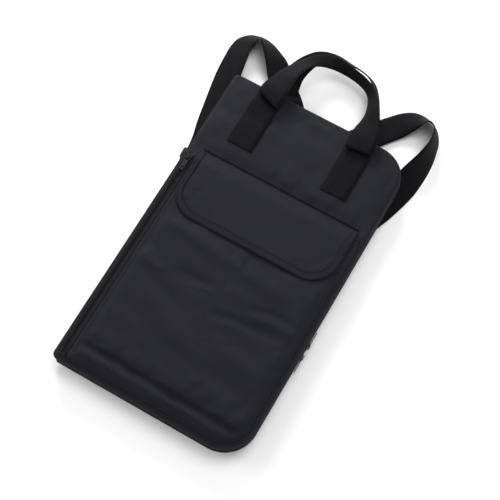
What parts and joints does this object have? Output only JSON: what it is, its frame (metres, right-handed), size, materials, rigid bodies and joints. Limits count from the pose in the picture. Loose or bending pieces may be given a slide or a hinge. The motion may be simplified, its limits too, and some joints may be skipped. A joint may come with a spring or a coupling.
{
  "type": "drum stick bag",
  "caption": "Padded folding case for drum sticks: zip round three sides, flapped front pocket, two webbing tote handles and two webbing shoulder straps.",
  "frame": {"origin": "centre of the back panel's outer face, with the bag lying on its back", "axes": "+X to the side with the zip, +Y to the handles, +Z out of the front"},
  "size_m": [0.3344, 0.576, 0.0443],
  "materials": {
    "shell_fabric": "woven polyester, coated on the back, charcoal black",
    "lining_fabric": "thin plain-weave lining, black",
    "foam": "closed-cell foam sheet, grey",
    "webbing": "ribbed woven webbing, black",
    "zip_tape": "woven zip tape, black",
    "zip_teeth": "nylon coil, satin",
    "slider_metal": "nickel plated, bright",
    "puller": "painted black, satin",
    "moulded_plastic": "moulded, fine spark texture",
    "hook_and_loop": "napped, matt",
    "binding": "folded bias tape, same cloth as the shell"
  },
  "bodies": {
    "rear_shell": {"rear_cover": "shell_fabric", "rear_foam": "foam", "rear_lining": "lining_fabric", "stick_sleeves": "lining_fabric", "rear_zip_tape": "zip_tape", "rear_zip_coil": "zip_teeth", "main_zip_stops": "slider_metal", "rear_handle_left_leg": "webbing", "rear_handle_right_leg": "webbing", "left_shoulder_strap": "webbing", "left_strap_ring": "moulded_plastic", "left_anchor_tab": "webbing", "right_shoulder_strap": "webbing", "right_strap_ring": "moulded_plastic", "right_anchor_tab": "webbing"},
    "spine": {"spine_panel": "shell_fabric", "spine_lining": "lining_fabric"},
    "front_shell": {"front_cover": "shell_fabric", "front_foam": "foam", "front_lining": "lining_fabric", "inner_pocket": "lining_fabric", "front_zip_tape": "zip_tape", "front_zip_coil": "zip_teeth", "pocket_panel": "shell_fabric", "pocket_gusset": "shell_fabric", "pocket_loop_tape": "hook_and_loop", "side_zip_strip": "shell_fabric", "side_zip_tape": "zip_tape", "side_zip_coil": "zip_teeth", "front_handle_left_leg": "webbing", "front_handle_right_leg": "webbing"},
    "flap": {"flap_cover": "shell_fabric", "flap_lining": "lining_fabric", "flap_binding": "binding", "flap_hook_tape": "hook_and_loop"},
    "front_handle": {"front_handle": "webbing"},
    "rear_handle": {"rear_handle": "webbing"},
    "upper_slider": {"upper_slider": "slider_metal"},
    "upper_puller": {"upper_puller": "puller"},
    "lower_slider": {"lower_slider": "slider_metal"},
    "lower_puller": {"lower_puller": "puller"},
    "side_slider": {"side_slider": "slider_metal"},
    "side_puller": {"side_puller": "puller"},
    "left_adjuster": {"left_adjuster": "moulded_plastic"},
    "right_adjuster": {"right_adjuster": "moulded_plastic"}
  },
  "joints": [
    {"name": "spine_fold", "type": "hinge", "parent": "rear_shell", "child": "spine", "pos_m": [-0.1375, 0, 0.008], "axis": [0, -1, 0], "range_deg": [0, 88]},
    {"name": "cover_fold", "type": "hinge", "parent": "spine", "child": "front_shell", "pos_m": [-0.1375, 0, 0.0303], "axis": [0, -1, 0], "range_deg": [0, 88]},
    {"name": "flap_fold", "type": "hinge", "parent": "front_shell", "child": "flap", "pos_m": [0, 0.1095, 0.0338], "axis": [-1, 0, 0], "range_deg": [0, 135]},
    {"name": "front_handle_swing", "type": "hinge", "parent": "front_shell", "child": "front_handle", "pos_m": [0, 0.213, 0.0342], "axis": [-1, 0, 0], "range_deg": [-120, 0]},
    {"name": "rear_handle_swing", "type": "hinge", "parent": "rear_shell", "child": "rear_handle", "pos_m": [0, 0.213, 0.0009], "axis": [1, 0, 0], "range_deg": [-120, 0]},
    {"name": "upper_slider_travel", "type": "slide", "parent": "rear_shell", "child": "upper_slider", "axis": [0, 1, 0], "range_m": [0, 0.228]},
    {"name": "upper_puller_swing", "type": "hinge", "parent": "upper_slider", "child": "upper_puller", "pos_m": [0.1402, -0.058, 0.017], "axis": [0, 0, 1], "range_deg": [-120, 0]},
    {"name": "lower_slider_travel", "type": "slide", "parent": "rear_shell", "child": "lower_slider", "axis": [0, -1, 0], "range_m": [0, 0.106]},
    {"name": "lower_puller_swing", "type": "hinge", "parent": "lower_slider", "child": "lower_puller", "pos_m": [0.1402, -0.074, 0.017], "axis": [0, 0, 1], "range_deg": [0, 120]},
    {"name": "side_slider_travel", "type": "slide", "parent": "front_shell", "child": "side_slider", "axis": [0, -1, 0], "range_m": [0, 0.28]},
    {"name": "side_puller_swing", "type": "hinge", "parent": "side_slider", "child": "side_puller", "pos_m": [-0.127, 0.089, 0.0411], "axis": [-1, 0, 0], "range_deg": [0, 120]},
    {"name": "left_adjuster_slide", "type": "slide", "parent": "rear_shell", "child": "left_adjuster", "axis": [0.0419, -0.9991, 0], "range_m": [0, 0.075]},
    {"name": "right_adjuster_slide", "type": "slide", "parent": "rear_shell", "child": "right_adjuster", "axis": [0, -1, 0], "range_m": [0, 0.075]}
  ],
  "couplings": [
    {"joint": "cover_fold", "follows": "spine_fold", "ratio": 1}
  ]
}
